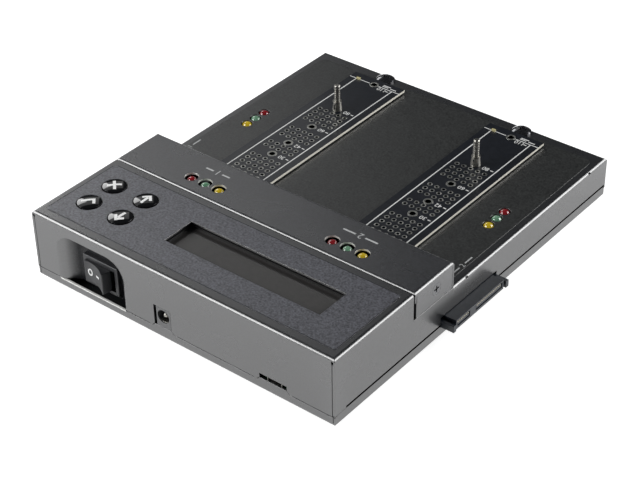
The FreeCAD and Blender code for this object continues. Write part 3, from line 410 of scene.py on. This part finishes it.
def domed_symbol(name, centre, crown, strokes):
    """Printed strokes that follow a key's domed face, as thin closed ribbons."""
    bm = bmesh.new()
    steps = 8
    for points in strokes:
        left, right = stroke_outline(points, stroke_w)
        for i in range(len(left) - 1):
            rows = []
            for k in range(steps + 1):
                t = k / steps
                a = left[i].lerp(left[i + 1], t)
                b = right[i].lerp(right[i + 1], t)
                row = []
                for s in (0.0, 0.25, 0.5, 0.75, 1.0):
                    q = a.lerp(b, s)
                    z = crown - key_ball_r + math.sqrt(key_ball_r ** 2 - q.length_squared)
                    row.append(Vector((centre.x / MM + q.x, centre.y / MM + q.y, z)))
                rows.append(row)
            top = [[bm.verts.new((v + Vector((0, 0, ink))) * MM) for v in row] for row in rows]
            base = [[bm.verts.new((v - Vector((0, 0, ink_root))) * MM) for v in row] for row in rows]
            for k in range(steps):
                for s in range(4):
                    bm.faces.new((top[k][s], top[k + 1][s], top[k + 1][s + 1], top[k][s + 1]))
                    bm.faces.new((base[k][s], base[k][s + 1], base[k + 1][s + 1], base[k + 1][s]))
                for s in (0, 4):
                    bm.faces.new((top[k][s], top[k + 1][s], base[k + 1][s], base[k][s]))
            for k in (0, steps):
                for s in range(4):
                    bm.faces.new((top[k][s], top[k][s + 1], base[k][s + 1], base[k][s]))
    return finish_mesh(bm, name)


for key, strokes in key_symbols.items():
    low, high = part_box(key)
    centre = (low + high) / 2
    mesh = domed_symbol(key + "_symbol", centre, high.z / MM, strokes)
    piece(key + "_symbol", mesh, white_ink, key)


# ---- Lamps ----
# 5 mm indicator lamps cast in tinted epoxy: clear, very glossy, brightest where the dome
# gathers light.  Each sits on a black nylon spacer tube.

def tinted_epoxy(name, colour, deep, glow):
    """Cast epoxy; the glow stands for the light that the dome gathers."""
    mat, shader, place = material(name, IOR=1.54, Transmission_Weight=0.35, Emission_Strength=glow,
                                  Coat_Weight=1.0, Coat_Roughness=0.03)
    mottle(mat, shader, place, colour, deep, 2.5)
    vary_roughness(mat, shader, place, 0.08, 0.16, 2.0)
    shader.inputs["Emission Color"].default_value = linear(colour)
    return mat


dress(tinted_epoxy("tinted_epoxy_red", "#a8202a", "#7c1219", 0.05), "lamps_red")
dress(tinted_epoxy("tinted_epoxy_green", "#8cb89a", "#5f9473", 0.05), "lamps_green")
dress(tinted_epoxy("tinted_epoxy_yellow", "#e8cf30", "#b8950f", 0.10), "lamps_yellow")


# ---- Slot boards and the pads under them ----
# Boards: 1.2 mm glass epoxy, black solder mask, routed edges left raw and cream.  White
# legend: two guide lines, an end line and the card lengths in millimetres.  Pads: black foam.

slot_axis = {"target": 41.3, "source": -40.3}
slot_half_w = 15.2
slot_middle = (slot_axis["target"] + slot_axis["source"]) / 2
slot_spread = (slot_axis["target"] - slot_axis["source"]) / 2
board_low, board_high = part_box("slot_board_target")
rim = 0.1

solder_black, shader, place = material("black_solder_mask", IOR=1.52, Coat_Weight=0.4, Coat_Roughness=0.1)
mottle(solder_black, shader, place, "#1b1e25", "#101319", 2.2)
vary_roughness(solder_black, shader, place, 0.25, 0.36, 5.0)
relief(solder_black, shader, place, 1.2, 0.012)
where = add(solder_black, "SeparateXYZ", links={"Vector": place})
off_axis = where.outputs["X"]
for shift in (-slot_middle, -slot_spread):
    off_axis = add(solder_black, "Math", {1: shift * MM}, {0: off_axis}).outputs[0]
    off_axis = add(solder_black, "Math", links={0: off_axis}, operation="ABSOLUTE").outputs[0]
at_side = add(solder_black, "Math", {1: (slot_half_w - rim) * MM}, {0: off_axis}, operation="GREATER_THAN")
at_end = add(solder_black, "Math", {1: board_low.y + rim * MM}, {0: where.outputs["Y"]},
             operation="LESS_THAN")
routed = add(solder_black, "Math", links={0: at_side.outputs[0], 1: at_end.outputs[0]}, operation="MAXIMUM")
raw = add(solder_black, "Math", links={0: walls(solder_black), 1: routed.outputs[0]}, operation="MULTIPLY")
colour_over(solder_black, shader, raw.outputs[0], "#f2eee0")
dress(solder_black, "slot_board_target", "slot_board_source")

foam, shader, place = material("black_foam_pads", IOR=1.4)
mottle(foam, shader, place, "#141414", "#0c0c0c", 0.6)
vary_roughness(foam, shader, place, 0.85, 0.95, 2.0)
relief(foam, shader, place, 0.4, 0.05)
dress(foam, "slot_pads")

legend_white, shader, place = material("white_board_legend", IOR=1.5)
mottle(legend_white, shader, place, "#f2f3f1", "#dcdddb", 0.7)
vary_roughness(legend_white, shader, place, 0.5, 0.65, 1.5)
relief(legend_white, shader, place, 0.4, 0.008)

tinned, shader, place = material("tinned_copper_rings", Metallic=1.0)
mottle(tinned, shader, place, "#cfcfca", "#a3a49f", 0.8)
vary_roughness(tinned, shader, place, 0.3, 0.45, 0.8)
relief(tinned, shader, place, 0.5, 0.004, 0.15)
# Painted shade: below the board face the plated bores and the inserts are drawn near-black.
bore_top = 25.05
painted_bore_highlight_and_shade = inside(tinned, place, Z=(0.0, bore_top))
colour_over(tinned, shader, painted_bore_highlight_and_shade, "#141414")
dress(tinned, "plated_rings", "card_inserts")

card_lengths = (30, 42, 60, 80, 110)
datum_y = 21.05
guide_x = 11.05
guide_start_y = 24.0
end_line_y = datum_y - card_lengths[-1]
line_gap = 0.3
post_gap = 2.8
end_line_spans = ((-slot_half_w, -guide_x - line_gap), (-guide_x + line_gap, -post_gap),
                  (post_gap, guide_x - line_gap), (guide_x + line_gap, slot_half_w))
note_rows = (((-4.2, -7.6), 1.5), ((-4.2, -8.6), 2.5), ((-8.9, -12.4), 1.5))
line_w = 0.55
end_line_w = 0.45
tick_x = (-8.2, -9.8)
label_x = -5.6
label_h = 2.5
board_top = board_high.z / MM
label_y = {length: datum_y - length for length in card_lengths}
label_y[card_lengths[-1]] += 1.8


def words(name, text, height, place, along, mat):
    """Printed characters as thin solid letters: height in mm, centre place, reading direction."""
    curve = bpy.data.curves.new(name, "FONT")
    curve.body = text
    curve.size = 1.0
    curve.extrude = 0.5
    curve.resolution_u = 6
    curve.align_x = "CENTER"
    temp = bpy.data.objects.new(name + "_draft", curve)
    scene.collection.objects.link(temp)
    bpy.context.view_layer.update()
    mesh = bpy.data.meshes.new_from_object(temp.evaluated_get(bpy.context.evaluated_depsgraph_get()))
    bpy.data.objects.remove(temp)
    xs = [v.co.x for v in mesh.vertices]
    ys = [v.co.y for v in mesh.vertices]
    size = height / (max(ys) - min(ys))
    mid_x = (max(xs) + min(xs)) / 2
    mid_y = (max(ys) + min(ys)) / 2
    run = Vector((along[0], along[1], 0)).normalized()
    rise = Vector((-run.y, run.x, 0))
    for v in mesh.vertices:
        flat = run * (v.co.x - mid_x) * size + rise * (v.co.y - mid_y) * size
        v.co = (Vector(place) + flat + Vector((0, 0, (v.co.z + 0.5) * ink))) * MM
    mesh.name = name
    piece(name, mesh, mat)


for side, axis in slot_axis.items():
    bm = bmesh.new()
    for x in (axis - guide_x, axis + guide_x):
        strip(bm, (x, guide_start_y), (x, end_line_y), line_w, board_top, board_top + ink)
    for start, end in end_line_spans:
        strip(bm, (axis + start, end_line_y), (axis + end, end_line_y), end_line_w,
              board_top, board_top + ink)
    for (start, end), drop in note_rows:
        y = end_line_y - drop
        strip(bm, (axis + start, y), (axis + end, y), line_w, board_top, board_top + ink)
    for y in label_y.values():
        strip(bm, (axis + tick_x[0], y), (axis + tick_x[1], y), line_w, board_top, board_top + ink)
    piece("slot_legend_" + side, finish_mesh(bm, "slot_legend_" + side), legend_white)
    for length, y in label_y.items():
        words("length_%d_%s" % (length, side), str(length), label_h, (axis + label_x, y, board_top), (1, 0),
              legend_white)


# ---- Card sockets and their contacts ----
# Card sockets and drive connectors in black high-temperature plastic, injection moulded,
# with pale gold-flashed copper contacts.

socket_nylon, shader, place = material("black_lcp_sockets", IOR=1.55)
mottle(socket_nylon, shader, place, "#232a34", "#171c23", 1.2)
vary_roughness(socket_nylon, shader, place, 0.32, 0.45, 3.0)
relief(socket_nylon, shader, place, 0.6, 0.008, 0.25)
dress(socket_nylon, "card_socket_target", "card_socket_source", "drive_socket_target", "drive_socket_source")

gold_flash, shader, place = material("gold_flashed_contacts", Metallic=0.1)
mottle(gold_flash, shader, place, "#fff8e6", "#f4ead0", 0.8)
vary_roughness(gold_flash, shader, place, 0.2, 0.32, 0.8)
dress(gold_flash, "card_socket_pins", "drive_socket_pins")


# ---- Card posts ----
# Turned brass, nickel plated: a tapered body, a collar and a threaded stud.  The shell of
# the micro-USB port and the pin of the power inlet have the same warm satin plating.

nickel, shader, place = material("nickel_plated_brass", Metallic=1.0)
mottle(nickel, shader, place, "#b4b2ac", "#86847f", 0.9)
vary_roughness(nickel, shader, place, 0.28, 0.42, 0.7)
relief(nickel, shader, place, 0.4, 0.006, 0.15)
dress(nickel, "card_post_target", "card_post_source", "usb_shell", "power_pin")


# ---- Small board parts ----
# Yellowish ceramic chips beside the slots, black epoxy chips, satin aluminium cans and
# ferrite blocks on the main board.

ceramic, shader, place = material("cream_ceramic_chips", IOR=1.6)
mottle(ceramic, shader, place, "#cfc79a", "#b3aa7a", 0.8)
vary_roughness(ceramic, shader, place, 0.35, 0.5, 1.0)
dress(ceramic, "slot_chips")

chip_epoxy, shader, place = material("moulded_epoxy_chips", IOR=1.55)
mottle(chip_epoxy, shader, place, "#232425", "#191a1b", 1.0)
vary_roughness(chip_epoxy, shader, place, 0.5, 0.65, 2.0)
relief(chip_epoxy, shader, place, 0.4, 0.01)
dress(chip_epoxy, "main_chips", "main_inductors")

satin_can, shader, place = material("satin_aluminium_cans", Metallic=1.0)
mottle(satin_can, shader, place, "#cfd0d2", "#b0b1b3", 1.5)
vary_roughness(satin_can, shader, place, 0.3, 0.42, 2.0)
dress(satin_can, "main_capacitors")


# ---- Green boards ----
# The boards inside the case: 1.6 mm glass epoxy with a green solder mask, whose tone
# drifts a little over the copper under it.

solder_green, shader, place = material("green_solder_mask", IOR=1.52, Coat_Weight=0.3, Coat_Roughness=0.15)
mottle(solder_green, shader, place, "#1f5a34", "#123f22", 3.0)
vary_roughness(solder_green, shader, place, 0.3, 0.42, 4.0)
relief(solder_green, shader, place, 0.8, 0.02)
dress(solder_green, "main_board", "panel_board", "side_board_target", "side_board_source", "display_board")


# ---- Cable, leads and plugs inside ----
# Grey PVC ribbon with a ridge over each wire, red PVC leads, off-white nylon plugs and
# the switch's tinned brass tabs.

off_white, shader, place = material("natural_nylon_plugs", IOR=1.53)
mottle(off_white, shader, place, "#d9d3c2", "#c6c0ae", 2.0)
vary_roughness(off_white, shader, place, 0.4, 0.55, 3.0)
dress(off_white, "board_sockets")

wire_pitch = 1.27
grey_pvc, shader, place = material("grey_pvc_ribbon", IOR=1.53)
wires = add(grey_pvc, "TexWave", {"Scale": per_mm(wire_pitch * 2 * math.pi), "Distortion": 0.0},
            {"Vector": place})
mottle(grey_pvc, shader, place, "#8c8c8c", "#7a7a7a", 2.0)
rib = add(grey_pvc, "Bump", {"Strength": 0.8, "Distance": 0.2 * MM}, {"Height": wires.outputs["Fac"]})
link(grey_pvc, rib.outputs["Normal"], shader, "Normal")
dress(grey_pvc, "flat_cable")

red_pvc, shader, place = material("red_pvc_leads", IOR=1.53)
mottle(red_pvc, shader, place, "#a31a1a", "#8a1212", 2.0)
vary_roughness(red_pvc, shader, place, 0.35, 0.5, 3.0)
dress(red_pvc, "switch_leads")

tab_brass, shader, place = material("tinned_brass_tabs", Metallic=1.0)
mottle(tab_brass, shader, place, "#d6c68c", "#b8a66a", 1.0)
vary_roughness(tab_brass, shader, place, 0.25, 0.4, 1.0)
dress(tab_brass, "switch_terminals")


# ---- Power switch ----
# Snap-in rocker switch in black nylon with a fine spark-eroded texture.  The rocker
# carries a white ring and bar for off and on.

spark_nylon, shader, place = material("spark_textured_black_nylon", IOR=1.53)
mottle(spark_nylon, shader, place, "#2a2b2e", "#1e1f22", 0.8)
vary_roughness(spark_nylon, shader, place, 0.36, 0.48, 2.0)
relief(spark_nylon, shader, place, 0.7, 0.015, 0.35)
dress(spark_nylon, "switch_body", "switch_rocker", "usb_tongue")

rocker_tilt = math.radians(14.0)
rocker_pivot = Vector((47.35, 97.0, 15.95))
rocker_half = 7.2
rocker_mid = 5.7
rocker_dip = 1.6
ring_mid = 4.0
face_r = (rocker_half ** 2 + rocker_dip ** 2) / (2 * rocker_dip)


def rocker_point(along, up, lift):
    """A point on the rocker's hollow face: along it, up it and lifted off it, in millimetres."""
    out = rocker_mid + face_r - math.sqrt(face_r ** 2 - along ** 2) + lift
    x = along * math.cos(rocker_tilt) + out * math.sin(rocker_tilt)
    y = -along * math.sin(rocker_tilt) + out * math.cos(rocker_tilt)
    return (rocker_pivot + Vector((x, y, up))) * MM


def face_ribbon(name, inner, outer, closed):
    """A thin closed ribbon printed on the rocker between two lists of face points."""
    bm = bmesh.new()
    rings = [[bm.verts.new(rocker_point(a, u, lift)) for a, u in line]
             for line, lift in ((inner, ink), (outer, ink), (outer, -ink_root), (inner, -ink_root))]
    count = len(inner)
    for i in range(count if closed else count - 1):
        j = (i + 1) % count
        for k in range(4):
            bm.faces.new((rings[k][i], rings[k][j], rings[(k + 1) % 4][j], rings[(k + 1) % 4][i]))
    if not closed:
        for i in (0, count - 1):
            bm.faces.new([ring[i] for ring in rings])
    piece(name, finish_mesh(bm, name), white_ink, "switch_rocker")


circle = [(math.cos(math.radians(15 * i)), math.sin(math.radians(15 * i))) for i in range(24)]
inner_ring = [(ring_mid + 0.75 * a, 1.15 * b) for a, b in circle]
outer_ring = [(ring_mid + 1.4 * a, 1.9 * b) for a, b in circle]
face_ribbon("rocker_ring", inner_ring, outer_ring, True)
bar_half_w = 0.5
bar_steps = [-2.4 + 0.3 * i for i in range(9)]
face_ribbon("rocker_bar", [(a, -bar_half_w) for a in bar_steps], [(a, bar_half_w) for a in bar_steps], False)


# ---- Power inlet ----
# Barrel inlet with a polished black nylon body.  Inside its bore a nickel-plated spring
# leaf, bent to the round, presses on the plug's outer sleeve.

inlet_nylon, shader, place = material("polished_black_nylon_inlet", IOR=1.53, Specular_IOR_Level=1.0)
mottle(inlet_nylon, shader, place, "#4a4b4d", "#3f4042", 1.2)
vary_roughness(inlet_nylon, shader, place, 0.28, 0.36, 2.0)
relief(inlet_nylon, shader, place, 0.8, 0.006, 0.2)
dress(inlet_nylon, "power_inlet")

jack_axis = Vector((7.8, 0.0, 13.9))
leaf_y = (95.0, 103.3)
leaf_r = (3.08, 3.26)
leaf_turn = (165.0, 305.0)
leaf_steps = 16
leaf_section = [(leaf_y[0], leaf_r[0]), (leaf_y[1], leaf_r[0]),
                (leaf_y[1], leaf_r[1]), (leaf_y[0], leaf_r[1])]
bm = bmesh.new()
rows = []
for i in range(leaf_steps + 1):
    turn = math.radians(leaf_turn[0] + (leaf_turn[1] - leaf_turn[0]) * i / leaf_steps)
    out = Vector((math.cos(turn), 0.0, math.sin(turn)))
    rows.append([bm.verts.new((jack_axis + out * radius + Vector((0, y, 0))) * MM)
                 for y, radius in leaf_section])
for near_row, far_row in zip(rows, rows[1:]):
    for k in range(4):
        bm.faces.new((near_row[k], near_row[(k + 1) % 4], far_row[(k + 1) % 4], far_row[k]))
bm.faces.new(rows[0])
bm.faces.new(rows[-1])
piece("inlet_contact_leaf", finish_mesh(bm, "inlet_contact_leaf"), nickel)


# ---- Marks beside the lamps and at the deck edges ----
# Grey-white screen print on the bridge and on the deck film: a numeral between two bars,
# 1 for the target side and 2 for the source side.

mark_grey, shader, place = material("grey_white_screen_print", IOR=1.5)
mottle(mark_grey, shader, place, "#c6c8c8", "#aeb0b0", 0.8)
vary_roughness(mark_grey, shader, place, 0.45, 0.6, 2.0)


def numbered_mark(name, text, centre, along, length, height, surface):
    """A numeral between two bars, laid out along one direction."""
    run = Vector(along)
    mid = Vector(centre)
    gap = 0.55 * height + 0.6
    bm = bmesh.new()
    for way in (-1, 1):
        start = mid + run * way * gap
        end = mid + run * way * length / 2
        strip(bm, start, end, 0.26 * height, surface, surface + ink)
    piece(name + "_bars", finish_mesh(bm, name + "_bars"), mark_grey)
    words(name + "_numeral", text, height, (mid.x, mid.y, surface), along, mark_grey)


bridge_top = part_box("bridge_cover")[1].z / MM
deck_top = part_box("deck_film")[1].z / MM
numbered_mark("bridge_mark_target", "1", (39.0, 31.7), (1, 0), 14.0, 3.6, bridge_top)
numbered_mark("bridge_mark_source", "2", (-42.0, 31.7), (1, 0), 18.5, 3.6, bridge_top)
numbered_mark("deck_mark_target", "1", (78.6, 7.5), (0, 1), 15.0, 2.6, deck_top)
numbered_mark("deck_mark_source", "2", (-78.6, 7.5), (0, -1), 15.0, 2.6, deck_top)


# ---- Room: pale floor, soft boxes and camera ----
# A white paper sweep in a dim room, under two large soft boxes, one each side of the
# camera, and a smaller soft box and a faint panel beyond the object that its top reflects.

floor_mesh = bpy.data.meshes.new("floor")
bm = bmesh.new()
bmesh.ops.create_grid(bm, x_segments=8, y_segments=8, size=6.0)
bm.to_mesh(floor_mesh)
bm.free()
floor = bpy.data.objects.new("floor", floor_mesh)
scene.collection.objects.link(floor)

sweep = bpy.data.materials.new("white_paper_sweep")
sweep.use_nodes = True
sweep.node_tree.nodes.clear()
rays = add(sweep, "LightPath")
seen = rays.outputs["Is Camera Ray"]
for kind in ("Is Glossy Ray", "Is Transmission Ray"):
    seen = add(sweep, "Math", links={0: seen, 1: rays.outputs[kind]}, operation="MAXIMUM").outputs[0]
paper_lift = 0.7
lift = add(sweep, "Math", {1: paper_lift}, {0: seen}, operation="MULTIPLY")
paper = add(sweep, "BsdfDiffuse", {"Color": linear("#f0f0f0")})
glow = add(sweep, "Emission", {"Color": (1, 1, 1, 1)}, {"Strength": lift.outputs[0]})
both = add(sweep, "AddShader", links={0: paper.outputs[0], 1: glow.outputs[0]})
add(sweep, "OutputMaterial", links={"Surface": both.outputs[0]})
floor_mesh.materials.append(sweep)

world = bpy.data.worlds.new("dim_room")
scene.world = world
world.use_nodes = True
dim_air = world.node_tree.nodes["Background"]
dim_air.inputs["Color"].default_value = (0.9, 0.95, 1.0, 1)
dim_air.inputs["Strength"].default_value = 0.05


def soft_box(name, direction, distance, width, height, brightness):
    """A soft box of the given radiance that faces the object."""
    lamp = bpy.data.lights.new(name, "AREA")
    lamp.shape = "RECTANGLE"
    lamp.size = width
    lamp.size_y = height
    lamp.energy = brightness * math.pi * width * height
    holder = bpy.data.objects.new(name, lamp)
    scene.collection.objects.link(holder)
    toward = Vector(direction).normalized()
    facing = toward.to_track_quat("Z", "Y").to_matrix().to_4x4()
    holder.matrix_world = Matrix.Translation(toward * distance) @ facing


soft_box("left_soft_box", (0.60, 0.66, 0.50), 1.3, 0.9, 0.75, 6.5)
soft_box("right_soft_box", (-0.68, -0.66, 0.42), 1.3, 0.9, 0.75, 6.5)
soft_box("far_soft_box", (0.84, -0.28, 0.50), 1.5, 0.6, 0.5, 3.4)
soft_box("far_panel", (0.69, -0.46, 0.58), 1.6, 0.85, 0.8, 0.5)

camera_spot = Vector((-0.3992, 0.5016, 0.4583))
focal_length = 95.4
turn, tilt, roll = (math.radians(a) for a in (-141.073, 35.671, 0.9))
back = Vector((math.sin(turn) * math.cos(tilt), -math.cos(turn) * math.cos(tilt), math.sin(tilt)))
side = (-back).cross(Vector((0, 0, 1))).normalized()
down = (-back).cross(side)
right = math.cos(roll) * side + math.sin(roll) * down
up = math.sin(roll) * side - math.cos(roll) * down
camera_data = bpy.data.cameras.new("camera")
camera_data.sensor_width = 36.0
camera_data.lens = focal_length
camera_data.clip_start = 0.05
camera = bpy.data.objects.new("camera", camera_data)
scene.collection.objects.link(camera)
pose = Matrix((right, up, back)).transposed().to_4x4()
pose.translation = camera_spot
camera.matrix_world = pose
scene.camera = camera
scene.view_settings.view_transform = "Standard"

bpy.context.view_layer.update()
